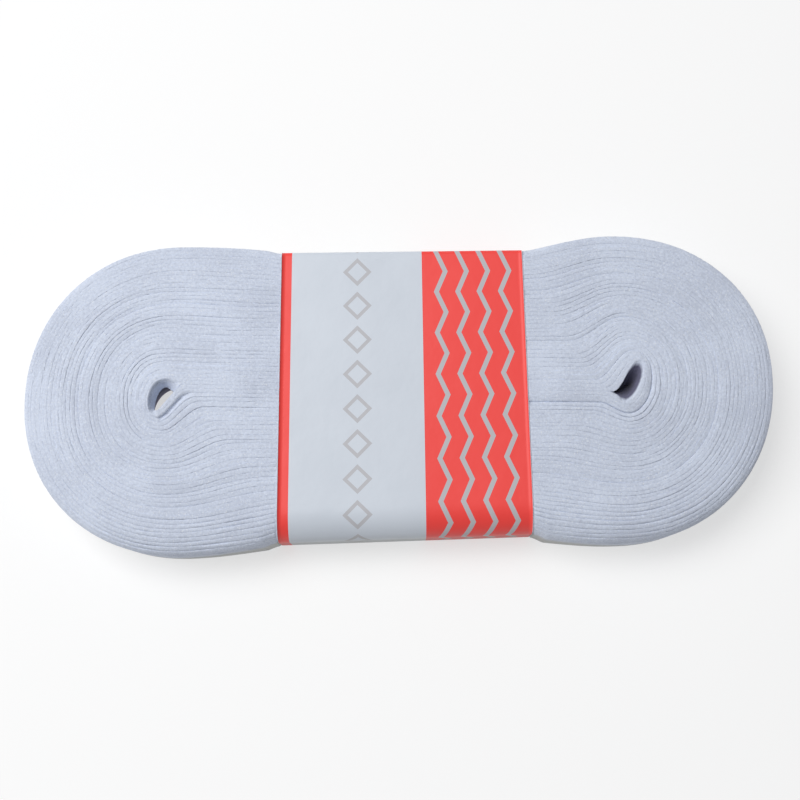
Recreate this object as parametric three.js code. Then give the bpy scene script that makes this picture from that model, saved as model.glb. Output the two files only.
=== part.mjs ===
// A flat roll of white cotton twill tape: ten metres wound round two pegs into a long oval, and held at its waist
// by a paper band. Units are millimetres, +Z up. The roll lies on its side, so X runs along it, Z is the width of
// the tape, and the edges of the turns make its upper and lower faces. The origin is under its middle.
import * as THREE from "three";
import { mergeVertices } from "three/addons/utils/BufferGeometryUtils.js";

// Driving dimensions
const TAPE_WIDTH = 14;
const WAIST_BACK = 31.05; // outside of the paper at the waist, away from the viewer
const WAIST_FRONT = -30.15;
const SEAM_Y = 0.9; // between the eyes the innermost turn lies against itself, along this line
const SEAM_SLOPE = -0.042;
const SEAM_DROP = 0.4; // depth of the groove that the seam makes, and of the eyes' rounded lips
const EYE_FADE = 0.06; // the slant of the eyes is lost this share of the way out to the rim
const RIM_ROUND = 1.2; // rounding of the outermost turns at both faces
const BAND_LEFT = -25.4;
const BAND_RIGHT = 27.6;
const BAND_THICK = 1;
const BAND_GAP = 0.3;
const BAND_ROUND = 1.9; // rounding of the roll under the band
const BAND_LIFT = 0.05; // the band clears the surface that the roll lies on by this much
const BAND_RAMP = [0.4, 2.2]; // the roll swells back to full size between these distances from the band's edges
const CREASE_HALF = 0.012; // half the width of a crease, as a share of the way from eye to rim
const SWAY = 0.12; // how far the bundles rise and sink along the roll
const SWAY_LENGTH = 9;

// The two ends. sign is the way out along X. A bend is half of a squared ellipse: x, y is its centre, reach its
// distance to the end of the roll, back and front those to its sides, and square its exponent. It is given at the
// eye and at the rim. The runs between the ends are straight from flatBack and flatFront inwards, and their points
// begin at join. At the eye alone, lean slants the bend, pull brings flatBack nearer to it, straight, up to 1, draws
// the S of the runs out straight, and join moves their first point. under widens the bend at the lower face.
const ENDS = {
  left: {
    sign: -1,
    eye: { x: -49.6, y: 0.65, reach: 3, back: 3.3, front: 3.6, square: 2 },
    rim: { x: -45.9, y: -0.65, reach: 32.9, back: 33.7, front: 32.5, square: 2.12 },
    eyeRuns: { flatBack: -45.6, flatFront: -45.2 },
    rimRuns: { flatBack: -9, flatFront: -15.8 },
    join: -36,
    atEye: { lean: 0.45, pull: 0, straight: 0.75, join: -45.2, under: 1.4 },
  },
  right: {
    sign: 1,
    eye: { x: 49.1, y: 1.25, reach: 2.2, back: 4.1, front: 4.5, square: 2 },
    rim: { x: 45.8, y: 2.05, reach: 33, back: 31.1, front: 34.8, square: 2.12 },
    eyeRuns: { flatBack: 41.5, flatFront: 44.2 },
    rimRuns: { flatBack: 25.5, flatFront: 15.7 },
    join: 38,
    atEye: { lean: 0.4, pull: 4.2, straight: 0.3, join: 44.2, under: 0.35 },
  },
};

// Bundles of turns that stand together, from the seam outwards. to: where the bundle ends, as a share of the way from
// eye to rim. left and right: how far it stands above the tape's width at each end. crease: depth of the crease after
// it. under: whether that crease shows on the underside too.
const BUNDLES = [
  { to: 0.078, left: 0.45, right: 0.5, crease: 1.1, under: true },
  { to: 0.2, left: 0.1, right: 0.15, crease: 0.45, under: false },
  { to: 0.335, left: 0.3, right: 0.3, crease: 0.45, under: true },
  { to: 0.43, left: 0.05, right: 0.2, crease: 0.45, under: false },
  { to: 0.585, left: 0.25, right: 0.1, crease: 0.65, under: true },
  { to: 0.68, left: 0.1, right: 0.3, crease: 0.45, under: false },
  { to: 0.79, left: 0.2, right: 0.05, crease: 0.5, under: true },
  { to: 0.9, left: 0.05, right: 0.15, crease: 0.4, under: false },
];
const RIM_BUNDLE = { to: 1, left: -0.05, right: -0.05 };

// How finely the roll is cut into stations round a loop
const BEND_STEPS = 16; // even, so that the roll's ends are among the points
const RUN_STEPS = 7;
const JOIN_STEPS = 3;
const SLEEVE_X = [-18, -9, 0, 9, 18];
const MIDDLE_LEFT = -32;
const MIDDLE_RIGHT = 34;
const ROUND_STEPS = 3;

const mix = (a, b, t) => a + (b - a) * t;
const clamp = (t) => Math.min(1, Math.max(0, t));
const ease = (t) => 0.5 - 0.5 * Math.cos(Math.PI * clamp(t));
const nearEye = (w) => Math.exp(-w / EYE_FADE);
const seamY = (x) => SEAM_Y + SEAM_SLOPE * x;

// 1 where the band holds the roll, 0 clear of it.
function pinch(x) {
  const past = Math.max(BAND_LEFT - x, x - BAND_RIGHT);
  return 1 - ease((past - BAND_RAMP[0]) / (BAND_RAMP[1] - BAND_RAMP[0]));
}

// Points either side of a band's edge where the roll swells.
function rampX(edge, sign) {
  return [BAND_RAMP[0], mix(...BAND_RAMP, 0.5), BAND_RAMP[1]].map((distance) => edge + sign * distance);
}

// A row of a table at share w of the way from eye (0) to rim (1).
function rowAt(eyeRow, rimRow, w) {
  return Object.fromEntries(Object.keys(eyeRow).map((key) => [key, mix(eyeRow[key], rimRow[key], w)]));
}

// A point on the bend: angle 0 is its back, a quarter turn the end of the roll, a half turn its front.
// On the lower face the bend is wider or narrower near the eye.
function bendPoint(end, w, angle, isUnder) {
  const b = rowAt(end.eye, end.rim, w);
  const lean = end.atEye.lean * nearEye(w);
  const power = 2 / b.square;
  const c = Math.cos(angle);
  const dy = (c > 0 ? b.back : b.front) * Math.sign(c) * Math.abs(c) ** power;
  const wider = isUnder ? mix(1, end.atEye.under, nearEye(w)) : 1;
  const dx = b.reach * wider * Math.abs(Math.sin(angle)) ** power;
  return new THREE.Vector2(b.x + end.sign * dx + lean * dy, b.y + dy);
}

// Where the bend passes into the run along the back (side 1) or the front (side -1), and where it gets straight.
function crest(end, w, side) {
  const b = rowAt(end.eye, end.rim, w);
  const runs = rowAt(end.eyeRuns, end.rimRuns, w);
  const dy = side > 0 ? b.back : -b.front;
  const flat = side > 0 ? runs.flatBack + end.atEye.pull * nearEye(w) : runs.flatFront;
  return { x: b.x + end.atEye.lean * nearEye(w) * dy, y: b.y + dy, flat };
}

// Height in y of the run at x: the waist, with a rise to the bend at each end.
function runY(x, w, side) {
  const level = (at) => mix(seamY(at), side > 0 ? WAIST_BACK : WAIST_FRONT, w);
  let y = level(x);
  for (const end of Object.values(ENDS)) {
    const top = crest(end, w, side);
    const t = clamp((x - top.x) / (top.flat - top.x));
    y += (top.y - level(top.x)) * (1 - mix(ease(t), t, end.atEye.straight * nearEye(w)));
  }
  return y - side * (BAND_THICK + BAND_GAP) * pinch(x) * w * w;
}

// Stations along a run, from the waist out to the bend: first some on the seam, then some beside the eye.
function runStations(end, side) {
  const waistX = end.sign < 0 ? MIDDLE_LEFT : MIDDLE_RIGHT;
  const joinX = (w) => mix(end.join, end.atEye.join, nearEye(w));
  const found = [];
  for (let i = 1; i <= JOIN_STEPS; i++) {
    found.push({ seam: true, x: (w) => mix(waistX, joinX(w), i / JOIN_STEPS) });
  }
  for (let i = 1; i < RUN_STEPS; i++) {
    found.push({ seam: false, x: (w) => mix(joinX(w), crest(end, w, side).x, i / RUN_STEPS) });
  }
  return found.map(({ seam, x }) => ({ seam, at: (w) => new THREE.Vector2(x(w), runY(x(w), w, side)) }));
}

// Stations round a bend, from back to front.
function bendStations(end) {
  return Array.from({ length: BEND_STEPS + 1 }, (_, i) => ({
    seam: false,
    at: (w, isUnder = false) => bendPoint(end, w, (Math.PI * i) / BEND_STEPS, isUnder),
  }));
}

// All stations round a loop: the back, the left end, the front and the right end. Each gives its point on the loop at
// share w, and seam says whether the innermost loop touches itself there.
function stations() {
  const xs = [MIDDLE_LEFT, ...rampX(BAND_LEFT, -1).reverse(), ...SLEEVE_X, ...rampX(BAND_RIGHT, 1), MIDDLE_RIGHT];
  const middle = (side) => xs.map((x) => ({ seam: true, at: (w) => new THREE.Vector2(x, runY(x, w, side)) }));
  return [
    ...middle(1).reverse(),
    ...runStations(ENDS.left, 1),
    ...bendStations(ENDS.left),
    ...runStations(ENDS.left, -1).reverse(),
    ...middle(-1),
    ...runStations(ENDS.right, -1),
    ...bendStations(ENDS.right).reverse(),
    ...runStations(ENDS.right, 1).reverse(),
  ];
}

// Joins rows of points into a closed skin: every row is a ring, and the last row joins the first. skip leaves out the
// patch between two neighbouring points of the last row and the first.
function skin(rows, skip = () => false) {
  const count = rows[0].length;
  const index = [];
  rows.forEach((row, r) => {
    const below = r * count;
    const above = ((r + 1) % rows.length) * count;
    for (let i = 0; i < count; i++) {
      const j = (i + 1) % count;
      if (r === rows.length - 1 && skip(i, j)) continue;
      index.push(below + i, above + j, below + j, below + i, above + i, above + j);
    }
  });
  const geometry = new THREE.BufferGeometry();
  const positions = rows.flat().flatMap((p) => [p.x, p.y, p.z]);
  geometry.setAttribute("position", new THREE.Float32BufferAttribute(positions, 3));
  geometry.setIndex(index);
  const merged = mergeVertices(geometry);
  merged.computeVertexNormals();
  return merged;
}

// The wound tape as one solid.
function rollGeometry() {
  const loop = stations();
  const depth = loop.map((s) => s.at(1).distanceTo(s.at(0)));
  const room = BAND_THICK + BAND_GAP;
  const topLevel = (x) => TAPE_WIDTH + BAND_LIFT - (room + BAND_LIFT) * pinch(x);
  const underLevel = (x) => (room + BAND_LIFT) * pinch(x);
  const bundleLevel = (bundle) => (x) => {
    const along = ease((x - ENDS.left.eye.x) / (ENDS.right.eye.x - ENDS.left.eye.x));
    const sway = SWAY * Math.sin(x / SWAY_LENGTH + 5 * bundle.to);
    return topLevel(x) + (mix(bundle.left, bundle.right, along) + sway) * (1 - pinch(x));
  };

  // A ring of points at share w, with its heights
  const ring = (w, height, isUnder) => loop.map((s) => {
    const p = s.at(w, isUnder);
    return new THREE.Vector3(p.x, p.y, height(p.x));
  });

  // One face, from the seam outwards
  const face = (bundles, levelOf, isUnder) => {
    const down = isUnder ? -1 : 1;
    const rings = [];
    let from = 0;
    for (const bundle of bundles) {
      const level = levelOf(bundle);
      if (from === 0) rings.push(ring(0, (x) => level(x) - down * SEAM_DROP, isUnder));
      rings.push(ring(from + CREASE_HALF, level, isUnder));
      rings.push(ring(bundle.to - CREASE_HALF, level, isUnder));
      rings.push(ring(bundle.to, (x) => level(x) - down * bundle.crease, isUnder));
      from = bundle.to;
    }
    rings.push(ring(from + CREASE_HALF, levelOf(RIM_BUNDLE), isUnder));
    return rings;
  };
  const top = face(BUNDLES, bundleLevel, false);
  const under = face(BUNDLES.filter((bundle) => bundle.under), () => underLevel, true);

  // The rounded rim: turn runs from 0, on the face, to a quarter turn, on the side
  const rimRing = (turn, level, down) => loop.map((s, i) => {
    const radius = mix(RIM_ROUND, BAND_ROUND, pinch(s.at(1).x));
    const p = s.at(1 - (radius * (1 - Math.sin(turn))) / depth[i]);
    return new THREE.Vector3(p.x, p.y, level(p.x) - down * radius * (1 - Math.cos(turn)));
  });
  const turns = Array.from({ length: ROUND_STEPS + 1 }, (_, k) => (k * Math.PI) / 2 / ROUND_STEPS);
  const topRim = turns.map((turn) => rimRing(turn, bundleLevel(RIM_BUNDLE), 1));
  const underRim = turns.map((turn) => rimRing(turn, underLevel, -1)).reverse();

  // On the seam both sides of the innermost loop are one line, so no wall closes it there.
  return skin([...top, ...topRim, ...underRim, ...under.reverse()], (i, j) => loop[i].seam && loop[j].seam);
}

// The paper band: a sleeve that follows the roll's waist.
function bandGeometry() {
  const cornerSteps = 5;
  const flatSteps = 8;
  const high = TAPE_WIDTH - BAND_THICK - BAND_GAP - BAND_ROUND;
  const low = BAND_LIFT + BAND_THICK + BAND_GAP + BAND_ROUND;
  const section = (x, out) => {
    const radius = BAND_ROUND + out;
    const back = runY(x, 1, 1) - BAND_ROUND;
    const front = runY(x, 1, -1) + BAND_ROUND;
    const corners = [
      { y: front, z: low, start: 270 },
      { y: front, z: high, start: 180 },
      { y: back, z: high, start: 90 },
      { y: back, z: low, start: 0 },
    ];
    const points = [];
    corners.forEach((corner, k) => {
      const next = corners[(k + 1) % 4];
      for (let i = 0; i <= cornerSteps; i++) {
        const a = THREE.MathUtils.degToRad(corner.start - (90 * i) / cornerSteps);
        points.push(new THREE.Vector3(x, corner.y + radius * Math.cos(a), corner.z + radius * Math.sin(a)));
      }
      const last = points.at(-1);
      for (let i = 1; i < flatSteps && next.y !== corner.y; i++) {
        points.push(new THREE.Vector3(x, mix(last.y, next.y, i / flatSteps), last.z));
      }
    });
    return points;
  };
  const xs = [BAND_LEFT, ...SLEEVE_X, BAND_RIGHT];
  const outer = xs.map((x) => section(x, BAND_GAP + BAND_THICK));
  const inner = xs.map((x) => section(x, BAND_GAP)).reverse();
  return skin([...outer, ...inner]);
}

function piece(name, geometry, look) {
  const mesh = new THREE.Mesh(geometry, new THREE.MeshStandardMaterial({ metalness: 0, ...look }));
  mesh.name = name;
  return mesh;
}

const group = new THREE.Group();
group.add(piece("tape_roll", rollGeometry(), { color: 0xd5dcea, roughness: 0.95 }));
group.add(piece("paper_band", bandGeometry(), { color: 0xf4615c, roughness: 0.6 }));

export default group;
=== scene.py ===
# A flat roll of white cotton twill tape, held at its waist by a printed paper band.
# Lengths are millimetres until a mesh is made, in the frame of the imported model: X along the roll, Z up,
# -Y nearest the viewer. The tape is one strip wound in 34 turns. A place on it is given by w, the share of
# the way from the eyes (0) to the rim (1), and q, the way round a turn: 0 to 1 along the back from right to
# left, 1 to 2 round the left bend, 2 to 3 along the front and 3 to 4 round the right bend.
import math

import bpy
import numpy as np
from mathutils import Matrix, Vector


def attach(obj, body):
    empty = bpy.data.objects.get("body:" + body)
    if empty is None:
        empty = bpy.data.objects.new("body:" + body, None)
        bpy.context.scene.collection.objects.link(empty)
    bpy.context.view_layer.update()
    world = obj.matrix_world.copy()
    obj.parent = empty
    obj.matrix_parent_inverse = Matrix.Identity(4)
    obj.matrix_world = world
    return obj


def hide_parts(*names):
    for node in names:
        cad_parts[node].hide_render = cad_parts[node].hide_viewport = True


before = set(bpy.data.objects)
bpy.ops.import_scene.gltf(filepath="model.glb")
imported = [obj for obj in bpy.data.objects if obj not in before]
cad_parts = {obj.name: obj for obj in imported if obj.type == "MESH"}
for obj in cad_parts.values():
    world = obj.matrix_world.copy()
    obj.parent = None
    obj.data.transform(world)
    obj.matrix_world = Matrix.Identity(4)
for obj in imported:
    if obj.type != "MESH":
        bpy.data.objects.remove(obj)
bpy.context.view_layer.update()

MM = 0.001

# The winding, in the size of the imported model
TAPE_WIDTH = 14.0
WAIST_BACK = 31.05  # outside of the paper, at x = 0
WAIST_BACK_SLOPE = -0.013
WAIST_FRONT = -30.3
WAIST_FRONT_SLOPE = 0.01
SEAM_Y = 0.9  # between the eyes the innermost turn lies against itself, along this line
SEAM_SLOPE = -0.042
SAG_BEND = 1.5  # beside an eye the seam bends down over this distance
EYE_FADE = 0.06  # the eyes' own forms fade over this share of the way out to the rim
EYE_DEPTH = 0.35  # the eyes take their lower shape from this share of the way down

# The ends of the roll. sign: the side in x. eye and rim: the innermost and the outermost bend, each with
# its middle, reach in x, sizes to the back and front, and how square it is, 2 for an ellipse. eye_runs
# and rim_runs: where the runs beside these bends get straight. at_eye holds what is true near the eye
# alone. lean: how far the bend slants, in x for each unit of y. pull: how far in x the place moves where
# the back run gets straight. straight: 0 for a run that swings softly into the bend, 1 for one that slants
# straight to it. under_reach and under_sides: how many times as wide the eye is below, in x and in y. sag:
# how steeply the seam bends down. dark_below: the height below which the inside of the eye gets painted
# shade.
ENDS = {
    "left": {
        "sign": -1,
        "eye": {"x": -50.1, "y": -0.05, "reach": 1.6, "back": 2.95, "front": 2.6, "square": 2.25},
        "rim": {"x": -45.9, "y": -0.65, "reach": 32.9, "back": 33.7, "front": 32.2, "square": 2.12},
        "eye_runs": {"flat_back": -47.4, "flat_front": -45.2},
        "rim_runs": {"flat_back": -13.0, "flat_front": -15.8},
        "at_eye": {
            "lean": 0.24, "pull": 0.0, "straight": 0.75, "under_reach": 2.55, "under_sides": 1.6, "sag": 1.0,
        },
        "dark_below": 9.9,
    },
    "right": {
        "sign": 1,
        "eye": {"x": 49.1, "y": 1.25, "reach": 2.1, "back": 4.4, "front": 4.6, "square": 2.0},
        "rim": {"x": 45.8, "y": 2.05, "reach": 33.0, "back": 31.1, "front": 34.45, "square": 2.12},
        "eye_runs": {"flat_back": 41.5, "flat_front": 44.2},
        "rim_runs": {"flat_back": 25.5, "flat_front": 15.7},
        "at_eye": {
            "lean": 0.4, "pull": 3.4, "straight": 0.05, "under_reach": 0.1, "under_sides": 0.02, "sag": 0.0,
        },
        "dark_below": 14.0,
    },
}
EYE_ZONE = 0.8  # past this share of the eye's x, the inner side of the tape is the inside of the eye

# The turns
TURNS = 34
LIP_TURNS = 3  # the innermost turns stand together as one smooth lip
LIP_EDGE = 0.078  # which ends at this w
PITCH_JITTER = 0.09  # how unequal the other turns are, as a share of a turn
WOBBLE = 0.09  # how far the line between two turns strays, as a share of a turn
CLEARANCE = 0.01  # between two turns, as a share of a turn
JOG_RIGHT = 22.0  # under the band, along the back, each turn steps out to the next place between these two
JOG_LEFT = -20.0
PIECES = {"tape_inner_turns": (0, 14), "tape_middle_turns": (14, 25), "tape_outer_turns": (25, TURNS)}

# The distance between sections of the tape
STEP = 0.42  # where the tape shows
BEND_SHARE = 0.16  # a step there is no longer than this share of the radius of the bend
LEAST_RADIUS = 0.4  # which is taken as at least this
EDGE_STEP = 0.12  # at the paper's edges
EDGE_ZONE = {"middle": 0.15, "half": 0.4}  # where that is, outwards from the edge
HIDDEN_STEP = 5.0  # under the band
HIDDEN_START = 1.0  # from this far in from its edge, and fully so HIDDEN_RAMP further in
HIDDEN_RAMP = 2.0
SAMPLES = 6001  # places at which a turn is measured for that
RADIUS_WINDOW = np.ones(9)  # samples that the radius is worked out from

# Levels of the turns
PRESS = 0.35  # the band presses the roll in by this much at its front and back
PRESS_UNDER = 0.62  # and by this much underneath, where the paper overlaps
PRESS_RAMP = (0.0, 0.6)  # distances outside the paper's edge between which the roll swells
PINCH_REACH = 3.5  # within this distance of the paper the roll narrows to its waist
CALM_REACH = 9.0  # within this distance of the paper the turns stand level
TURN_JITTER = 0.04  # how unequally high the turns stand
TURN_WAVE = 0.035  # how much each one rises and sinks on its way round
FRAY = 0.034  # how rough its upper edge is
REST_EVERY = 3  # the roll rests on every third turn
UNDER_LIFT = 0.1  # and the others are this much off the ground, more or less by the share UNDER_WAVE
UNDER_WAVE = 0.6
UNDER_SHIFT = 1.7  # in q, so that a turn's lower edge doesn't follow its upper one

# The rim. Along the front it is rounded off like a quarter of an ellipse, from a start in w outwards.
SHOULDER_START = 0.745
SHOULDER_DROP = 3.4
SHOULDER_CALM_START = 0.8  # the start beside the paper, where it drops as much as the paper
SHOULDER_END = 0.99  # the share of the ellipse that is used, since its end is upright
FRONT_POWER = 1.5  # how soon that fades round the bends
RIM_WIDTH = 0.05  # the rest of the rim is rounded off over this stretch of w
RIM_DROP = 0.25
BACK_DROP = 1.2  # the same beside the paper

# How far the turns stand above the tape's width, from the lips round the eyes to the rim, at each end.
LEVELS = [
    {"w": 0.0, "left": 0.45, "right": 0.5},
    {"w": 0.06, "left": 0.45, "right": 0.5},
    {"w": 0.14, "left": 0.15, "right": 0.2},
    {"w": 0.27, "left": 0.3, "right": 0.3},
    {"w": 0.4, "left": 0.1, "right": 0.2},
    {"w": 0.5, "left": 0.25, "right": 0.1},
    {"w": 0.63, "left": 0.1, "right": 0.3},
    {"w": 0.73, "left": 0.2, "right": 0.1},
    {"w": 0.85, "left": 0.05, "right": 0.15},
    {"w": 1.0, "left": -0.05, "right": -0.05},
]

# The lines between turns. Each side of one is rounded off by EDGE_DEEP, and by EDGE_ROUGH times its
# roughness and its strength more. Along the front of the outer turns a line is deeper by FRONT_DEEP times
# the roughness and FRONT_EVEN together, and gapes by FRONT_OPEN times the roughness, as a share of a turn.
# Along their back it is shallower by the share BACK_CALM.
EDGE_DEEP = 0.015
EDGE_ROUGH = 0.07
FRONT_DEEP = 0.08
FRONT_EVEN = 0.6
FRONT_OPEN = 0.006
BACK_CALM = 0.5
OUTER_START = 0.7  # the outer turns are from this w on, fully so OUTER_RAMP further out
OUTER_RAMP = 0.15
LIP_CALM = 0.35  # the share of all this that the lip has
HELD_CALM = 0.3  # and the share under the band
LOWER_GAP = 0.04  # the share of its gape that a line has below its upper edge
ROUGH_MIDDLE = 0.4  # the roughness changes along a line by ROUGH_SWING, but stays from 0 to ROUGH_MOST
ROUGH_SWING = 0.7
ROUGH_MOST = 1.5
LEAST_STRENGTH = 0.15  # the strength of a line is from this to 1
GROOVE_ROUGH = 0.4  # how much of the roughness the grooves below take

# Grooves that stand out between two turns. w: the place. start, stop and fade: the stretch of q in which it
# shows and how softly it ends. open: how wide it gapes, if it does, as a share of a turn. deep: how far the
# edges beside it are rounded off. sag: how far the turns on both sides sink towards it. valley: how far in
# w they do, if not VALLEY.
GROOVES = [
    {"w": 0.06, "start": 2.015, "stop": 2.04, "fade": 0.035, "deep": 0.08, "sag": 0.65, "valley": 0.012},
    {"w": 0.06, "start": 1.75, "stop": 1.97, "fade": 0.2, "deep": 0.05, "sag": 0.2, "valley": 0.012},
    {"w": 0.078, "start": 2.7, "stop": 3.5, "fade": 0.25, "open": 0.05, "deep": 0.26, "sag": 0.25},
    {"w": 0.078, "start": 3.5, "stop": 4.2, "fade": 0.25, "deep": 0.06, "sag": 0.1},
    {"w": 0.078, "start": 0.6, "stop": 1.3, "fade": 0.3, "deep": 0.04, "sag": 0.06},
    {"w": 0.335, "start": 3.6, "stop": 4.5, "fade": 0.3, "open": 0.01, "deep": 0.06, "sag": 0.15},
    {"w": 0.39, "start": 0.7, "stop": 2.3, "fade": 0.3, "deep": 0.05, "sag": 0.08},
    {"w": 0.43, "start": 0.7, "stop": 1.9, "fade": 0.3, "deep": 0.06, "sag": 0.1},
    {"w": 0.585, "start": 0.7, "stop": 2.5, "fade": 0.3, "open": 0.015, "deep": 0.07, "sag": 0.16},
    {"w": 0.61, "start": 0.7, "stop": 2.0, "fade": 0.3, "deep": 0.08, "sag": 0.0},
    {"w": 0.585, "start": 2.5, "stop": 3.4, "fade": 0.3, "open": 0.01, "deep": 0.07, "sag": 0.12},
    {"w": 0.665, "start": 0.9, "stop": 2.4, "fade": 0.3, "deep": 0.06, "sag": 0.08},
    {"w": 0.69, "start": 3.9, "stop": 4.6, "fade": 0.3, "open": 0.01, "deep": 0.07, "sag": 0.12},
    {"w": 0.77, "start": 1.6, "stop": 2.6, "fade": 0.3, "deep": 0.06, "sag": 0.08},
    {"w": 0.8, "start": 3.9, "stop": 4.6, "fade": 0.3, "deep": 0.06, "sag": 0.12},
]
VALLEY = 0.03

# At the left eye the innermost turns have slipped down into a funnel, all but those along its front. to:
# the w at which it ends. power: how hollow it is. from_x and full_x: along the back it starts at the first
# and is full from the second. front_fade: it fades out over this stretch of q, before the front.
FUNNEL = {"depth": 3.4, "to": 0.04, "power": 1.4, "from_x": -45.8, "full_x": -48.6, "front_fade": 0.4}

# The section of the tape, round from the upper inner corner. across: -1 the inner side, 1 the outer. down:
# 0 the upper edge, 1 the lower. inner, outer: the share of that side's rounding that this point gets.
SECTION = [
    {"across": -1.0, "down": 0, "inner": 1.0, "outer": 0.0},
    {"across": -0.84, "down": 0, "inner": 0.6, "outer": 0.0},
    {"across": -0.5, "down": 0, "inner": 0.22, "outer": 0.0},
    {"across": 0.0, "down": 0, "inner": 0.0, "outer": 0.0},
    {"across": 0.5, "down": 0, "inner": 0.0, "outer": 0.22},
    {"across": 0.84, "down": 0, "inner": 0.0, "outer": 0.6},
    {"across": 1.0, "down": 0, "inner": 0.0, "outer": 1.0},
    {"across": 1.0, "down": 0.35, "inner": 0.0, "outer": 0.0},
    {"across": 1.0, "down": 0.7, "inner": 0.0, "outer": 0.0},
    {"across": 1.0, "down": 1, "inner": 0.0, "outer": 1.0},
    {"across": 0.6, "down": 1, "inner": 0.0, "outer": 0.1},
    {"across": -0.6, "down": 1, "inner": 0.1, "outer": 0.0},
    {"across": -1.0, "down": 1, "inner": 1.0, "outer": 0.0},
    {"across": -1.0, "down": 0.7, "inner": 0.0, "outer": 0.0},
    {"across": -1.0, "down": 0.35, "inner": 0.0, "outer": 0.0},
]
EDGE_FACES = (0, 1, 2, 3, 4, 5, 9, 10, 11)  # faces of the section that belong to the tape's edges

# The paper band
PAPER = 0.16  # its thickness
PAPER_CLEAR = 0.06  # between it and the tape on top of the roll
BAND_LEFT_EDGE = {"middle": -25.22, "slope": 0.025}
BAND_RIGHT_EDGE = {"middle": 27.15, "slope": 0.0}
BAND_WIDTH = BAND_RIGHT_EDGE["middle"] - BAND_LEFT_EDGE["middle"]
BAND_TOP = 14.16
BAND_UNDER = 0.06
BAND_BACK_ROUND = 1.0
BAND_FOOT_ROUND = 1.6
CROWN_REACH = 6.4  # along the front the top is rounded off over this distance, and down by CROWN_DROP
CROWN_DROP = 5.0
OVERLAP = 12.0
LAP_GAP = 0.08  # between the two layers of the overlap
LAP_RAMP = 6.0  # beyond the overlap the inner layer comes down over this distance
PAPER_STEP = 1.0
PATH_POINTS = {"lap": 16, "front": 6, "top": 50, "back": 8, "under": 14}
CORNER_STEPS = 8
CROWN_STEPS = 16

# The print, in millimetres across the paper from its left edge and along its route. The diamonds are a row:
# its middle, half the width of a diamond, the share of it that is bare inside, and the pitch of the row.
# The panel has zigzag lines: the place of the first, the width of a line, their pitch and number, how far
# they swing sideways and how long a zigzag is.
BARE_EDGE = 0.07
STRIPE = 2.3
DIAMONDS = {"middle": 16.5, "half": 3.1, "inside": 0.66, "pitch": 7.4}
PANEL = {"start": 30.5, "first_line": 33.0, "line": 1.1, "pitch": 4.6, "lines": 4, "swing": 2.0, "zig": 9.0}

# Colours, linear
COTTON = (0.688, 0.748, 0.877, 1)
COTTON_SHADE = (0.588, 0.638, 0.757, 1)
LINT = (0.9, 0.92, 0.95, 1)
# painted shade: the dark violet grey deep inside the eyes
PAINTED_EYE_SHADE = (0.13, 0.13, 0.2, 1)
# painted shade: the grey-olive tint that darkens the foot of the walls and the paper
PAINTED_FOOT_SHADE = (0.46, 0.45, 0.38, 1)
PAPER_WHITE = (0.685, 0.735, 0.81, 1)
PAPER_SHADE = (0.66, 0.71, 0.785, 1)
CORAL = (1.0, 0.07, 0.06, 1)
PRINT_GREY = (0.53, 0.53, 0.56, 1)

# The cotton's surface. Its shade comes from its fuzz and from broad clouds.
FUZZ = {"grain": 0.5 * MM, "detail": 3.0, "roughness": 0.6}
FUZZ_SHARE = 0.6
BROAD = {"grain": 14 * MM, "detail": 2.0}
SHADE_CONTRAST = 6.0
SHADE_OFFSET = -2.5
SPECKS = {"grain": 0.28 * MM, "detail": 1.0}
SPECK_LIMIT = 0.665  # there is lint where the specks are above this
LINT_SHARE = 0.55
EYE_SHADE_RAMP = 0.8  # the painted shade in the eyes darkens over this height
EDGE_THREAD = 0.8  # from thread to thread along the tape's edges
EDGE_TWIST = 9.0  # how far the fuzz moves them
EDGE_RELIEF = 0.3  # how high they are beside the ribs of the faces
TWILL_RIB = 1.2
WEAVE_RELIEF = 0.25
COTTON_BUMP = {"Strength": 0.55, "Distance": 0.1 * MM}
COTTON_SHEEN = {"Roughness": 0.95, "Specular IOR Level": 0.2, "Sheen Weight": 0.15, "Sheen Roughness": 0.6}

# The paper's surface
CLOUD = {"grain": 16, "detail": 4.0}
CLOUD_CONTRAST = 3.0
CLOUD_OFFSET = -1.0
CLOUD_RELIEF = 0.5
FIBRE = {"grain": 0.6, "detail": 2.0}
FIBRE_RELIEF = 0.02
PAPER_BUMP = {"Strength": 0.6, "Distance": MM}
PAPER_SHEEN = {"Roughness": 0.5, "Specular IOR Level": 0.5}

# Painted shade: a grey-olive tint that darkens the outside low down, on the walls and on the paper
FOOT_SHADE_TOP = 5.0  # it reaches this high on the walls
FOOT_SHADE_CLIMB = {"tape": 7.0, "paper": 6.5}  # and this much higher beside the paper and on it
FOOT_SHADE_BESIDE = (50, 26)  # the distances from the middle of the roll between which it climbs
FOOT_SHADE_DEPTH = 5.0  # how far below its top it takes to its full strength
FOOT_SHADE_SHARE = 0.7

# The studio
FLOOR_HALF = 3000
FLOOR = {
    "Base Color": (0.4, 0.4, 0.4, 1),
    "Roughness": 0.9,
    "Emission Color": (1, 1, 1, 1),
    "Emission Strength": 0.6,
}
KEY_PLACE = (-0.36, 0.2, 0.7)  # in metres
KEY_SIZE = 550
KEY_POWER = 6.05
SKY = {"Color": (0.95, 0.97, 1, 1), "Strength": 0.16}

# The camera looks at the target from the front, almost straight down, a little rolled.
TARGET = (0.2, -1.63, 14.0)
DISTANCE = 260.4
ELEVATION = math.radians(79.3)
ROLL = math.radians(1.4)
LENS = 55.8
SENSOR = 36
CLIP_START = 10


def mix(a, b, t):
    return a + (b - a) * t


def ease(t):
    """A soft step, 0 up to t = 0 and 1 from t = 1."""
    return 0.5 - 0.5 * np.cos(np.pi * np.clip(t, 0, 1))


def near_eye(w):
    """1 at the eyes, and fading outwards."""
    return np.exp(-w / EYE_FADE)


def seam_y(x):
    return SEAM_Y + SEAM_SLOPE * x


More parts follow.
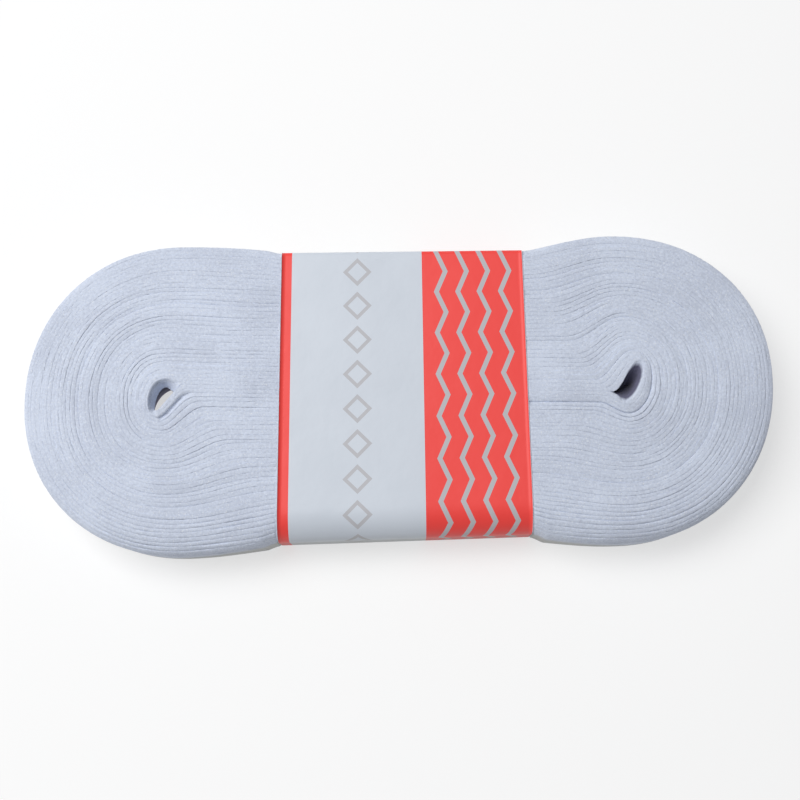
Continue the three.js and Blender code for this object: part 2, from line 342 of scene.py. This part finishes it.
def band_edges(y):
    """Where the paper's left and right edges lie at y."""
    left = BAND_LEFT_EDGE["middle"] + BAND_LEFT_EDGE["slope"] * y
    right = BAND_RIGHT_EDGE["middle"] + BAND_RIGHT_EDGE["slope"] * y
    return left, right


def past_band(x, y):
    """Distance outside the paper's nearer edge, negative under the paper."""
    left, right = band_edges(y)
    return np.maximum(left - x, x - right)


def pressed(x, y):
    """1 where the band presses on the roll, 0 clear of it."""
    return 1 - ease((past_band(x, y) - PRESS_RAMP[0]) / (PRESS_RAMP[1] - PRESS_RAMP[0]))


def column(end, key, w):
    """A measure of the bend at w."""
    return mix(end["eye"][key], end["rim"][key], w)


def size(end, key, w, depth):
    """A size of the bend, wider or narrower near the eye on the lower face, where depth is 1."""
    under = end["at_eye"]["under_reach" if key == "reach" else "under_sides"]
    return column(end, key, w) * mix(1, mix(1, under, near_eye(w)), depth)


def bend_point(end, w, angle, depth):
    """A point on a bend; angle 0 is its back and pi its front, depth 0 the upper face and 1 the lower."""
    lean = end["at_eye"]["lean"] * near_eye(w)
    power = 2 / column(end, "square", w)
    c = np.cos(angle)
    side = np.where(c > 0, size(end, "back", w, depth), size(end, "front", w, depth))
    dy = side * np.sign(c) * np.abs(c) ** power
    dx = size(end, "reach", w, depth) * np.abs(np.sin(angle)) ** power
    return column(end, "x", w) + end["sign"] * dx + lean * dy, column(end, "y", w) + dy


def crest(end, w, side, depth=0.0):
    """The point where the bend passes into the run along the back (side 1) or the front (side -1), and the x
    at which that run gets straight."""
    dy = size(end, "back", w, depth) if side > 0 else -size(end, "front", w, depth)
    key = "flat_back" if side > 0 else "flat_front"
    flat = mix(end["eye_runs"][key], end["rim_runs"][key], w)
    if side > 0:
        flat = flat + end["at_eye"]["pull"] * near_eye(w)
    return column(end, "x", w) + end["at_eye"]["lean"] * near_eye(w) * dy, column(end, "y", w) + dy, flat


def seam_sag(x, w):
    """How far the seam between the innermost runs bends down towards the front beside an eye."""
    sag = 0.0
    for end in ENDS.values():
        past = np.clip(end["sign"] * (x - end["eye_runs"]["flat_front"]), 0, None)
        bent = np.where(past < SAG_BEND, past**2 / (2 * SAG_BEND), past - SAG_BEND / 2)
        sag = sag + end["at_eye"]["sag"] * near_eye(w) * bent
    return sag


def waist_shift(x, y):
    """How far the waist lies off its place at x = 0, as it narrows a little to the right."""
    back = WAIST_BACK_SLOPE * np.clip(y / WAIST_BACK, 0, 1)
    front = WAIST_FRONT_SLOPE * np.clip(y / WAIST_FRONT, 0, 1)
    return (back + front) * x


def run_level(x, w, side):
    """The y of a run at the waist."""
    waist = WAIST_BACK if side > 0 else WAIST_FRONT
    return mix(seam_y(x) - seam_sag(x, w), waist + waist_shift(x, waist), w)


def run_y(x, w, side, depth=0.0):
    """The y of a run: the waist, with a rise to the bend at each end."""
    level = run_level(x, w, side)
    rise = 0.0
    for end in ENDS.values():
        top_x, top_y, flat = crest(end, w, side, depth)
        t = np.clip((x - top_x) / (flat - top_x), 0, 1)
        whole = top_y - run_level(top_x, w, side)
        rise = rise + whole * (1 - mix(ease(t), t, end["at_eye"]["straight"] * near_eye(w)))
    pinched = (1 - ease(past_band(x, level) / PINCH_REACH)) * w * w
    return level + rise * (1 - pinched) - side * PRESS * pressed(x, level) * w * w


def loop(w, q, depth=0.0):
    """The point at place w, q of the winding."""
    w, q, depth = np.broadcast_arrays(w, np.mod(q, 4), depth)
    part = np.floor(q)
    t = q - part
    left, right = ENDS["left"], ENDS["right"]
    back_x = mix(crest(right, w, 1, depth)[0], crest(left, w, 1, depth)[0], t)
    front_x = mix(crest(left, w, -1, depth)[0], crest(right, w, -1, depth)[0], t)
    left_x, left_y = bend_point(left, w, np.pi * t, depth)
    right_x, right_y = bend_point(right, w, np.pi * (1 - t), depth)
    parts = [part == 0, part == 1, part == 2]
    x = np.select(parts, [back_x, left_x, front_x], right_x)
    y = np.select(parts, [run_y(back_x, w, 1, depth), left_y, run_y(front_x, w, -1, depth)], right_y)
    return x, y


def frontness(q):
    """0 along the back and at the roll's ends, 1 along the front."""
    q = np.mod(q, 4)
    left_bend = -np.cos(np.pi * (q - 1))
    right_bend = np.cos(np.pi * (q - 3))
    forward = np.select([q < 1, q < 2, q < 3], [-1.0, left_bend, 1.0], right_bend)
    return np.clip(forward, 0, 1) ** FRONT_POWER


class Waves:
    """Smooth random values round a turn, one row for each of count turns, between about -1 and 1."""

    def __init__(self, seed, count, tones):
        source = np.random.default_rng(seed)
        self.tones = np.array(tones)
        self.phase = source.uniform(0, 2 * np.pi, (count, len(tones)))
        self.share = source.uniform(0.5, 1, (count, len(tones)))
        self.share /= np.sqrt((self.share**2).sum(1, keepdims=True))

    def at(self, turn, q):
        angle = np.multiply.outer(q, self.tones) * np.pi / 2 + self.phase[turn]
        return (np.sin(angle) * self.share[turn]).sum(-1)


random = np.random.default_rng(7)
level_waves = Waves(1, TURNS, (1, 2, 3, 5, 9, 14, 22, 31))
edge_waves = Waves(2, TURNS + 1, (2, 3, 5, 8, 13, 19, 28, 37))
stray_waves = Waves(3, TURNS + 1, (3, 5, 8, 12, 17))
turn_lifts = random.uniform(-1, 1, (TURNS, 2)) * TURN_JITTER
edge_strength = random.uniform(LEAST_STRENGTH, 1, TURNS + 1)
FRAY_SEED = 100  # for turn 0, and each further turn has the next one


def turn_places():
    """The places in w between the turns, TURNS + 1 of them."""
    lip = np.linspace(0, LIP_EDGE, LIP_TURNS + 1)
    rest = np.linspace(LIP_EDGE, 1, TURNS - LIP_TURNS + 1)
    pitch = rest[1] - rest[0]
    rest[1:-1] += random.uniform(-1, 1, len(rest) - 2) * PITCH_JITTER * pitch
    return np.concatenate([lip, rest[1:]])


PLACES = turn_places()


def place(edge, q):
    """The place in w of the line between two turns, which strays a little on its way round."""
    pitch = (1 - LIP_EDGE) / (TURNS - LIP_TURNS)
    loose = 1.0 if LIP_TURNS < edge < TURNS else 0.0
    return PLACES[edge] + loose * WOBBLE * pitch * stray_waves.at(edge, np.asarray(q, float))


def shown(row, q):
    """1 where a groove shows, 0 outside its stretch of q."""
    middle, half = (row["start"] + row["stop"]) / 2, (row["stop"] - row["start"]) / 2
    away = np.abs(np.mod(q - middle + 2, 4) - 2)
    return 1 - ease((away - half) / row["fade"])


def groove(edge, q):
    """How wide the line at an edge between two turns gapes, and how deep its sides are rounded off."""
    outer = ease((PLACES[edge] - OUTER_START) / OUTER_RAMP)
    rough = np.clip(ROUGH_MIDDLE + ROUGH_SWING * edge_waves.at(edge, q), 0, ROUGH_MOST)
    front = outer * frontness(q)
    back = 1 - BACK_CALM * outer * (1 - frontness(q))
    deep = EDGE_DEEP + EDGE_ROUGH * edge_strength[edge] * rough * back
    deep = deep + FRONT_DEEP * (FRONT_EVEN + rough) * front
    wide = FRONT_OPEN * front * rough
    if edge < LIP_TURNS:
        deep, wide = deep * LIP_CALM, wide * LIP_CALM
    for row in GROOVES:
        if abs(PLACES - row["w"]).argmin() == edge:
            share = shown(row, q) * mix(1, rough, GROOVE_ROUGH)
            deep = deep + row["deep"] * share
            wide = wide + row.get("open", 0.0) * share
    return wide, deep


def top_level(turn, q, x, y):
    """Height of the upper edge of a turn, before the rim is rounded off."""
    left_x, right_x = ENDS["left"]["eye"]["x"], ENDS["right"]["eye"]["x"]
    along = ease((x - left_x) / (right_x - left_x))
    places = [row["w"] for row in LEVELS]
    left, right = (np.interp(PLACES[turn], places, [row[key] for row in LEVELS]) for key in ("left", "right"))
    lift = mix(left, right, along)
    if turn >= LIP_TURNS:
        lift = lift + mix(turn_lifts[turn, 0], turn_lifts[turn, 1], along)
        lift = lift + TURN_WAVE * level_waves.at(turn, q)
    return TAPE_WIDTH + lift * ease(past_band(x, y) / CALM_REACH)


def rounded_off(w, q, x, y):
    """How far the rim is rounded off at w: the front like a quarter of an ellipse, the rest a little."""
    calm = 1 - ease(past_band(x, y) / CALM_REACH)
    start = mix(SHOULDER_START, SHOULDER_CALM_START, calm)
    share = np.clip((w - start) / (1 - start), 0, SHOULDER_END)
    front = mix(SHOULDER_DROP, CROWN_DROP, calm) * (1 - np.sqrt(1 - share**2)) * frontness(q)
    rim = np.clip((w - (1 - RIM_WIDTH)) / RIM_WIDTH, 0, 1) ** 2
    return front + mix(RIM_DROP, BACK_DROP, calm * (1 - frontness(q))) * rim


def valleys(w, q):
    """How far the turns on both sides of the grooves sink towards them."""
    sunk = 0.0
    for row in GROOVES:
        valley = row.get("valley", VALLEY)
        sunk = sunk + row["sag"] * np.exp(-(((w - row["w"]) / valley) ** 2)) * shown(row, q)
    return sunk


def funnel(w, q, x):
    """How far a turn has slipped down in the left eye."""
    q = np.mod(q, 4)
    share = np.clip(1 - w / FUNNEL["to"], 0, 1) ** FUNNEL["power"]
    back = ease((FUNNEL["from_x"] - x) / (FUNNEL["from_x"] - FUNNEL["full_x"]))
    front = ease((2 - q) / FUNNEL["front_fade"])
    return FUNNEL["depth"] * share * np.select([q < 1, q < 2], [back, front], 0.0)


def under_level(turn, q, held):
    """Height of the lower edge of a turn, 0 where it rests on the ground."""
    if turn % REST_EVERY == 0:
        clear = 0.0
    else:
        clear = UNDER_LIFT * (1 + UNDER_WAVE * level_waves.at(turn, q + UNDER_SHIFT))
    return mix(np.maximum(clear, 0), PRESS_UNDER, held)


def arc(y, z, radius, start, stop, steps=CORNER_STEPS):
    """Points round a corner about y, z, without the first, between two angles in degrees. radius is one
    length or a pair, across and up."""
    wide, tall = radius if isinstance(radius, tuple) else (radius, radius)
    angles = np.radians(np.linspace(start, stop, steps + 1)[1:])
    return [(y + wide * math.cos(angle), z + tall * math.sin(angle)) for angle in angles]


def band_path():
    """The paper's route round the roll, as y and z of the middle of the sheet: from the inner end under the
    roll, towards the front, up, over the top to the back, down, and below the inner end again."""
    front = WAIST_FRONT + PAPER / 2
    back = WAIST_BACK - PAPER / 2
    low = BAND_UNDER + PAPER / 2
    high = BAND_TOP - PAPER / 2
    foot = BAND_FOOT_ROUND
    lap = PAPER + LAP_GAP
    points = []
    for y in np.linspace(OVERLAP / 2, front + foot, PATH_POINTS["lap"]):
        points.append((y, low + lap * (1 - ease((-OVERLAP / 2 - y) / LAP_RAMP))))
    points += arc(front + foot, low + foot, foot, 270, 180)
    points += [(front, z) for z in np.linspace(low + foot, high - CROWN_DROP, PATH_POINTS["front"])[1:]]
    points += arc(front + CROWN_REACH, high - CROWN_DROP, (CROWN_REACH, CROWN_DROP), 180, 90, CROWN_STEPS)
    across = np.linspace(front + CROWN_REACH, back - BAND_BACK_ROUND, PATH_POINTS["top"])
    points += [(y, high) for y in across[1:]]
    points += arc(back - BAND_BACK_ROUND, high - BAND_BACK_ROUND, BAND_BACK_ROUND, 90, 0)
    points += [(back, z) for z in np.linspace(high - BAND_BACK_ROUND, low + foot, PATH_POINTS["back"])[1:]]
    points += arc(back - foot, low + foot, foot, 0, -90)
    points += [(y, low) for y in np.linspace(back - foot, -OVERLAP / 2, PATH_POINTS["under"])[1:]]
    return np.array(points)


def paper_level(x, y):
    """Height under the paper, on top of the roll, at x, y."""
    path = band_path()
    top = path[path[:, 1] > TAPE_WIDTH / 2]
    rising = top[np.argsort(top[:, 0], kind="stable")]
    inside = rising[(rising[:, 0] > WAIST_FRONT + PAPER) & (rising[:, 0] < WAIST_BACK - PAPER)]
    return np.interp(y - waist_shift(x, y), inside[:, 0], inside[:, 1]) - PAPER / 2 - PAPER_CLEAR


def turn_span(turn):
    """The stretch of q that a turn takes, from the jog before it to the next."""
    w = (PLACES[turn] + PLACES[turn + 1]) / 2
    right, left = crest(ENDS["right"], w, 1)[0], crest(ENDS["left"], w, 1)[0]
    start_x = JOG_LEFT if turn == 0 else JOG_RIGHT
    return (right - start_x) / (right - left), 4 + (right - JOG_RIGHT) / (right - left)


def turn_walls(turn, q):
    """The places in w of the inner and outer side of a turn, with the jog from the turn before."""
    x = loop((PLACES[turn] + PLACES[turn + 1]) / 2, q)[0]
    done = np.where(q < 1, ease((JOG_RIGHT - x) / (JOG_RIGHT - JOG_LEFT)), 1.0)
    before = max(turn - 1, 0)
    inner = mix(place(before, q), place(turn, q), done)
    return inner, mix(place(before + (turn > 0), q), place(turn + 1, q), done)


def turn_stations(turn):
    """Values of q for the sections of a turn, close where it shows or bends and far apart under the band."""
    start, stop = turn_span(turn)
    q = np.linspace(start, stop, SAMPLES)
    inner, outer = turn_walls(turn, q)
    x, y = loop((inner + outer) / 2, q)
    length = np.hypot(np.diff(x), np.diff(y))
    heading = np.unwrap(np.arctan2(np.diff(y), np.diff(x)))
    turned = np.abs(np.convolve(np.gradient(heading), RADIUS_WINDOW, "same"))
    radius = np.convolve(length, RADIUS_WINDOW, "same") / (turned + 1e-9)
    past = past_band(x, y)[1:]
    open_share = 1 - ease((-past - HIDDEN_START) / HIDDEN_RAMP)
    open_step = np.minimum(STEP, BEND_SHARE * np.maximum(radius, LEAST_RADIUS))
    step = mix(HIDDEN_STEP, open_step, open_share)
    step = np.where(np.abs(past - EDGE_ZONE["middle"]) < EDGE_ZONE["half"], EDGE_STEP, step)
    done = np.concatenate([[0], np.cumsum(length / step)])
    count = int(np.ceil(done[-1]))
    return np.interp(np.linspace(0, done[-1], count + 1), done, q)


def turn_rings(turn):
    """The points of a turn's sections, as an array of sections by points by x, y, z."""
    q = turn_stations(turn)
    inner, outer = turn_walls(turn, q)
    wide_in, deep_in = groove(turn, q)
    wide_out, deep_out = groove(turn + 1, q)
    middle, half = (inner + outer) / 2, (outer - inner) / 2
    x_middle, y_middle = loop(middle, q)
    held = pressed(x_middle, y_middle)
    top = top_level(turn, q, x_middle, y_middle)
    under = under_level(turn, q, held)
    frayed = np.random.default_rng(FRAY_SEED + turn)
    points = []
    for row in SECTION:
        is_top = row["down"] == 0
        gap = np.where(row["across"] < 0, wide_in, wide_out) * ((1 - held) if is_top else LOWER_GAP)
        w = middle + half * row["across"] * (1 - gap - CLEARANCE)
        x, y = loop(w, q, min(row["down"] / EYE_DEPTH, 1.0))
        rounding = (row["inner"] * deep_in + row["outer"] * deep_out) * mix(1, HELD_CALM, held)
        high = top - rounded_off(w, q, x, y) - valleys(w, q) - funnel(w, q, x)
        z = mix(high, under, row["down"]) + np.where(row["down"] > 0.5, 1, -1) * rounding
        if is_top:
            z = z + frayed.normal(0, FRAY, len(q))
            z = mix(z, paper_level(x, y) - rounding, held)
        points.append(np.stack([x, y, z], -1))
    return np.stack(points, 1)


def tape_rings(first, last):
    """The sections of the tape from turn first up to turn last, joined end to end."""
    parts = [turn_rings(turn)[(turn > first):] for turn in range(first, last)]
    return np.concatenate(parts)


def eye_darkness(rings, first_rows):
    """The height below which each point gets painted shade: in the eyes that of the end, and 0 anywhere else.
    Only the innermost turn, which has the first rows, is in the eyes."""
    level = np.zeros(rings.shape[:2])
    inner_side = [row["across"] == -1 for row in SECTION]
    for end in ENDS.values():
        here = end["sign"] * rings[:first_rows, :, 0] > EYE_ZONE * end["sign"] * end["eye"]["x"]
        level[:first_rows][here & inner_side] = end["dark_below"]
    return level


def skin_faces(rows, count):
    """Four-cornered faces between rows of count points, each row a ring."""
    r, i = np.meshgrid(np.arange(rows - 1), np.arange(count), indexing="ij")
    j = (i + 1) % count
    corners = [r * count + i, (r + 1) * count + i, (r + 1) * count + j, r * count + j]
    return np.stack(corners, -1).reshape(-1, 4)


def travelled(points):
    """The distance along a row of points, from 0 at the first."""
    steps = np.linalg.norm(np.diff(points, axis=0), axis=1)
    return np.concatenate([[0], np.cumsum(steps)])


def cloth_uv(rings):
    """The distance along the tape and round its section, for each corner of its faces, and 0 for its ends."""
    rows, count = rings.shape[:2]
    along = travelled(rings.mean(1))
    around = travelled(rings[:, list(range(count)) + [0]].mean(0))
    r, i = np.meshgrid(np.arange(rows - 1), np.arange(count), indexing="ij")
    u = np.stack([along[r], along[r + 1], along[r + 1], along[r]], -1)
    v = np.stack([around[i], around[i], around[i + 1], around[i + 1]], -1)
    return np.concatenate([np.stack([u, v], -1).reshape(-1, 2), np.zeros((2 * count, 2))])


def mesh_object(name, points, faces, materials, caps=()):
    """A smooth mesh of points in millimetres, with four-cornered faces and faces of any kind for its ends."""
    mesh = bpy.data.meshes.new(name)
    mesh.from_pydata((points * MM).tolist(), [], faces.tolist() + [list(cap) for cap in caps])
    for material in materials:
        mesh.materials.append(material)
    mesh.polygons.foreach_set("use_smooth", np.ones(len(mesh.polygons), bool))
    made = bpy.data.objects.new(name, mesh)
    bpy.context.scene.collection.objects.link(made)
    return made


def set_uv(mesh, name, values):
    layer = mesh.uv_layers.new(name=name)
    layer.uv.foreach_set("vector", np.asarray(values, np.float32).ravel())


def tape_piece(name, first, last, materials):
    """The turns from first up to last, one closed skin, with the materials of the tape's edges and faces."""
    rings = tape_rings(first, last)
    rows, count = rings.shape[:2]
    caps = [range(count), range((rows - 1) * count, rows * count)[::-1]]
    made = mesh_object(name, rings.reshape(-1, 3), skin_faces(rows, count), materials, caps)
    mesh = made.data
    set_uv(mesh, "cloth", cloth_uv(rings))
    # the heights below which the eyes get painted shade
    level = eye_darkness(rings, len(turn_stations(0)) if first == 0 else 0)
    darkness = mesh.attributes.new("dark_below", "FLOAT", "POINT")
    darkness.data.foreach_set("value", level.ravel().astype(np.float32))
    is_edge = np.tile(np.isin(range(count), EDGE_FACES), rows - 1)
    index = np.concatenate([np.where(is_edge, 0, 1), [1, 1]]).astype(np.int32)
    mesh.polygons.foreach_set("material_index", index)
    mesh.update()
    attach(made, "root")
    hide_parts("tape_roll")


def sheet_rings(path):
    """The paper's sections from its left edge to its right, each once round the sheet's thickness, and the
    place of each point on the flat sheet."""
    tangent = np.gradient(path, axis=0)
    tangent /= np.linalg.norm(tangent, axis=1, keepdims=True)
    normal = np.stack([-tangent[:, 1], tangent[:, 0]], 1)
    outer = path - normal * PAPER / 2
    inner = path + normal * PAPER / 2
    along = travelled(path)
    left, right = band_edges(path[:, 0])
    columns = int(round((right - left).mean() / PAPER_STEP))
    rings = []
    flat = []
    for share in np.linspace(0, 1, columns + 1):
        x = mix(left, right, share)
        xs = np.concatenate([x, x[::-1]])
        ring = np.concatenate([outer, inner[::-1]])
        ring[:, 0] += waist_shift(xs, ring[:, 0])
        rings.append(np.column_stack([xs, ring]))
        v = np.concatenate([along, along[::-1]])
        flat.append(np.column_stack([np.full(len(v), share * BAND_WIDTH), v]))
    return np.stack(rings), np.stack(flat)


def sheet_edges(rows, count):
    """Faces that close the paper's left and right edges."""
    last = (rows - 1) * count
    edges = []
    for i in range(count // 2 - 1):
        a, b, c, d = i, i + 1, count - 2 - i, count - 1 - i
        edges.append((a, b, c, d))
        edges.append((last + d, last + c, last + b, last + a))
    return edges


def band_piece(material):
    """The paper band, one closed sheet."""
    rings, flat = sheet_rings(band_path())
    rows, count = rings.shape[:2]
    faces = skin_faces(rows, count)[:, ::-1]
    made = mesh_object("paper_sleeve", rings.reshape(-1, 3), faces, [material], sheet_edges(rows, count))
    mesh = made.data
    corners = np.empty(len(mesh.loops), np.int32)
    mesh.loops.foreach_get("vertex_index", corners)
    set_uv(mesh, "sheet", flat.reshape(-1, 2)[corners])
    mesh.update()
    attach(made, "root")
    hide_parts("paper_band")


def new_material(name):
    """A material, its node tree and its shader."""
    material = bpy.data.materials.new(name)
    material.use_nodes = True
    return material, material.node_tree, material.node_tree.nodes["Principled BSDF"]


def feed(tree, socket, value):
    """Gives a socket its value, or links it to another socket."""
    if isinstance(value, bpy.types.NodeSocket):
        tree.links.new(value, socket)
    else:
        socket.default_value = value


def feed_all(tree, node, inputs):
    for name, value in inputs.items():
        feed(tree, node.inputs[name], value)


def add(tree, kind, inputs, **settings):
    """The first output of a new node of the kind, with its settings and its inputs by name."""
    made = tree.nodes.new(kind)
    for name, value in settings.items():
        setattr(made, name, value)
    feed_all(tree, made, inputs)
    return made.outputs[0]


def calc(tree, operation, *values):
    made = tree.nodes.new("ShaderNodeMath")
    made.operation = operation
    for socket, value in zip(made.inputs, values):
        feed(tree, socket, value)
    return made.outputs[0]


def colour_mix(tree, factor, a, b, blend="MIX"):
    return add(tree, "ShaderNodeMixRGB", {"Fac": factor, "Color1": a, "Color2": b}, blend_type=blend)


def noise(tree, position, grain, detail, roughness=0.5):
    """Cloudy values about 0.5, with clouds of the size of a grain."""
    inputs = {"Vector": position, "Scale": 1 / grain, "Detail": detail, "Roughness": roughness}
    return add(tree, "ShaderNodeTexNoise", inputs)


def split(tree, vector):
    """The x, y and z of a vector."""
    made = tree.nodes.new("ShaderNodeSeparateXYZ")
    tree.links.new(vector, made.inputs["Vector"])
    return tuple(made.outputs)


def object_position(tree):
    return tree.nodes.new("ShaderNodeTexCoord").outputs["Object"]


def fade(tree, value, start, stop):
    """0 up to start, 1 from stop on and rising between them; stop may be the lower one."""
    share = calc(tree, "DIVIDE", calc(tree, "SUBTRACT", value, start), stop - start)
    return calc(tree, "MINIMUM", calc(tree, "MAXIMUM", share, 0.0), 1.0)


def between(tree, value, low, high):
    """1 between low and high, 0 elsewhere."""
    above = calc(tree, "GREATER_THAN", value, low)
    return calc(tree, "MULTIPLY", above, calc(tree, "LESS_THAN", value, high))


def foot_shade_mask(tree, position, climb):
    """How much painted shade a wall gets, most at its foot and near the paper."""
    x, _, z = split(tree, position)
    beside = fade(tree, calc(tree, "ABSOLUTE", x), FOOT_SHADE_BESIDE[0] * MM, FOOT_SHADE_BESIDE[1] * MM)
    top = calc(tree, "MULTIPLY_ADD", beside, climb * MM, FOOT_SHADE_TOP * MM)
    below = calc(tree, "SUBTRACT", top, z)
    return calc(tree, "MULTIPLY", fade(tree, below, 0.0, FOOT_SHADE_DEPTH * MM), FOOT_SHADE_SHARE)


def cotton_colour(tree, position, fuzz):
    """Mottled cotton with specks of lint."""
    broad = noise(tree, position, **BROAD)
    fuzz_part = calc(tree, "MULTIPLY", fuzz, FUZZ_SHARE)
    shade = calc(tree, "ADD", fuzz_part, calc(tree, "MULTIPLY", broad, 1 - FUZZ_SHARE))
    shade = calc(tree, "MULTIPLY_ADD", shade, SHADE_CONTRAST, SHADE_OFFSET)
    colour = colour_mix(tree, shade, COTTON_SHADE, COTTON)
    speck = calc(tree, "GREATER_THAN", noise(tree, position, **SPECKS), SPECK_LIMIT)
    return colour_mix(tree, calc(tree, "MULTIPLY", speck, LINT_SHARE), colour, LINT)


def eye_shade_mask(tree, position):
    """How much painted shade the inside of an eye gets: 1 deep in the eyes."""
    height = calc(tree, "MULTIPLY", split(tree, position)[2], 1 / MM)
    level = tree.nodes.new("ShaderNodeAttribute")
    level.attribute_name = "dark_below"
    return fade(tree, calc(tree, "SUBTRACT", level.outputs["Fac"], height), 0.0, EYE_SHADE_RAMP)


def cotton_relief(tree, fuzz, is_edge):
    """The threads that cross the tape's edges, or the slanting ribs of its faces, with fuzz over them."""
    u, v, _ = split(tree, add(tree, "ShaderNodeUVMap", {}, uv_map="cloth"))
    if is_edge:
        even = calc(tree, "MULTIPLY", u, 2 * math.pi / EDGE_THREAD)
        turned = calc(tree, "MULTIPLY_ADD", fuzz, EDGE_TWIST, even)
        wave = calc(tree, "MULTIPLY", calc(tree, "SINE", turned), EDGE_RELIEF)
    else:
        wave = calc(tree, "SINE", calc(tree, "MULTIPLY", calc(tree, "ADD", u, v), 2 * math.pi / TWILL_RIB))
    return calc(tree, "MULTIPLY_ADD", wave, WEAVE_RELIEF, fuzz)


def cotton_material(name, is_edge):
    """The twill tape, on its woven edges or on its faces."""
    material, tree, shader = new_material(name)
    position = object_position(tree)
    fuzz = noise(tree, position, **FUZZ)
    colour = cotton_colour(tree, position, fuzz)
    # painted shade low on the tape's walls
    if not is_edge:
        colour = colour_mix(tree, foot_shade_mask(tree, position, FOOT_SHADE_CLIMB["tape"]), colour, PAINTED_FOOT_SHADE)
    # painted shade deep inside the eyes
    colour = colour_mix(tree, eye_shade_mask(tree, position), colour, PAINTED_EYE_SHADE)
    bump = add(tree, "ShaderNodeBump", {"Height": cotton_relief(tree, fuzz, is_edge), **COTTON_BUMP})
    feed_all(tree, shader, {"Base Color": colour, "Normal": bump, **COTTON_SHEEN})
    return material


def triangle_wave(tree, value, period):
    """0 to 1 and back to 0 in each period."""
    share = calc(tree, "FRACT", calc(tree, "DIVIDE", value, period))
    return calc(tree, "PINGPONG", calc(tree, "MULTIPLY", share, 2.0), 1.0)


def diamonds(tree, u, v):
    """A row of outlined diamonds along v."""
    away = calc(tree, "ABSOLUTE", calc(tree, "SUBTRACT", u, DIAMONDS["middle"]))
    across = calc(tree, "DIVIDE", away, DIAMONDS["half"])
    along = triangle_wave(tree, v, DIAMONDS["pitch"])
    along = calc(tree, "MULTIPLY", along, DIAMONDS["pitch"] / 2 / DIAMONDS["half"])
    return between(tree, calc(tree, "ADD", across, along), DIAMONDS["inside"], 1.0)


def zigzags(tree, u, v):
    """Zigzag lines along v, side by side on the coral panel."""
    bent = calc(tree, "MULTIPLY", triangle_wave(tree, v, PANEL["zig"]), PANEL["swing"])
    offset = calc(tree, "SUBTRACT", calc(tree, "SUBTRACT", u, bent), PANEL["first_line"])
    line = calc(tree, "LESS_THAN", calc(tree, "FLOORED_MODULO", offset, PANEL["pitch"]), PANEL["line"])
    reach = PANEL["pitch"] * (PANEL["lines"] - 1) + PANEL["line"]
    return calc(tree, "MULTIPLY", line, between(tree, offset, 0.0, reach))


def paper_material():
    """Coated paper with a plain geometric print: a coral panel with grey zigzag lines, a slim coral stripe
    along the other side and a row of grey diamonds between them."""
    material, tree, shader = new_material("printed_paper")
    spot = add(tree, "ShaderNodeUVMap", {}, uv_map="sheet")
    u, v, _ = split(tree, spot)
    cloud = noise(tree, spot, **CLOUD)
    shade = calc(tree, "MULTIPLY_ADD", cloud, CLOUD_CONTRAST, CLOUD_OFFSET)
    colour = colour_mix(tree, shade, PAPER_SHADE, PAPER_WHITE)
    colour = colour_mix(tree, diamonds(tree, u, v), colour, PRINT_GREY)
    stripe = between(tree, u, BARE_EDGE, STRIPE)
    panel = between(tree, u, PANEL["start"], BAND_WIDTH - BARE_EDGE)
    colour = colour_mix(tree, calc(tree, "ADD", stripe, panel), colour, CORAL)
    colour = colour_mix(tree, zigzags(tree, u, v), colour, PRINT_GREY)
    # painted shade low on the paper, multiplied into its colour
    foot_shade_share = foot_shade_mask(tree, object_position(tree), FOOT_SHADE_CLIMB["paper"])
    colour = colour_mix(tree, foot_shade_share, colour, PAINTED_FOOT_SHADE, "MULTIPLY")
    fibre = noise(tree, spot, **FIBRE)
    relief = calc(tree, "MULTIPLY_ADD", fibre, FIBRE_RELIEF, calc(tree, "MULTIPLY", cloud, CLOUD_RELIEF))
    bump = add(tree, "ShaderNodeBump", {"Height": relief, **PAPER_BUMP})
    feed_all(tree, shader, {"Base Color": colour, "Normal": bump, **PAPER_SHEEN})
    return material


def build_floor():
    """A pale floor that glows a little, so that it stays nearly white."""
    material, tree, shader = new_material("floor")
    feed_all(tree, shader, FLOOR)
    half = FLOOR_HALF
    points = np.array([(-half, -half, 0), (half, -half, 0), (half, half, 0), (-half, half, 0)], float)
    made = mesh_object("floor", points, np.array([(0, 1, 2, 3)]), [material])


def build_camera():
    data = bpy.data.cameras.new("camera")
    data.lens = LENS
    data.sensor_width = SENSOR
    data.clip_start = CLIP_START * MM
    camera = bpy.data.objects.new("camera", data)
    bpy.context.scene.collection.objects.link(camera)
    back = Vector((0, -math.cos(ELEVATION), math.sin(ELEVATION)))
    up = Vector((0, math.sin(ELEVATION), math.cos(ELEVATION)))
    right = Vector((1, 0, 0))
    rolled_right = right * math.cos(ROLL) - up * math.sin(ROLL)
    rolled_up = right * math.sin(ROLL) + up * math.cos(ROLL)
    turn = Matrix((rolled_right, rolled_up, back)).transposed()
    camera.rotation_euler = turn.to_euler()
    camera.location = (Vector(TARGET) + back * DISTANCE) * MM
    bpy.context.scene.camera = camera


def build_lights():
    """One large lamp above the left end and behind it, and a pale sky."""
    data = bpy.data.lights.new("key", "AREA")
    data.size = KEY_SIZE * MM
    data.energy = KEY_POWER
    light = bpy.data.objects.new("key", data)
    light.location = KEY_PLACE
    light.rotation_euler = (-Vector(KEY_PLACE)).to_track_quat("-Z", "Y").to_euler()
    bpy.context.scene.collection.objects.link(light)
    world = bpy.data.worlds.new("studio")
    world.use_nodes = True
    feed_all(world.node_tree, world.node_tree.nodes["Background"], SKY)
    bpy.context.scene.world = world


def build():
    bpy.context.scene.view_settings.view_transform = "Standard"
    build_camera()
    build_floor()
    build_lights()
    cloth = [cotton_material("cotton_edge", True), cotton_material("cotton_face", False)]
    for name, (first, last) in PIECES.items():
        tape_piece(name, first, last, cloth)
    band_piece(paper_material())


build()
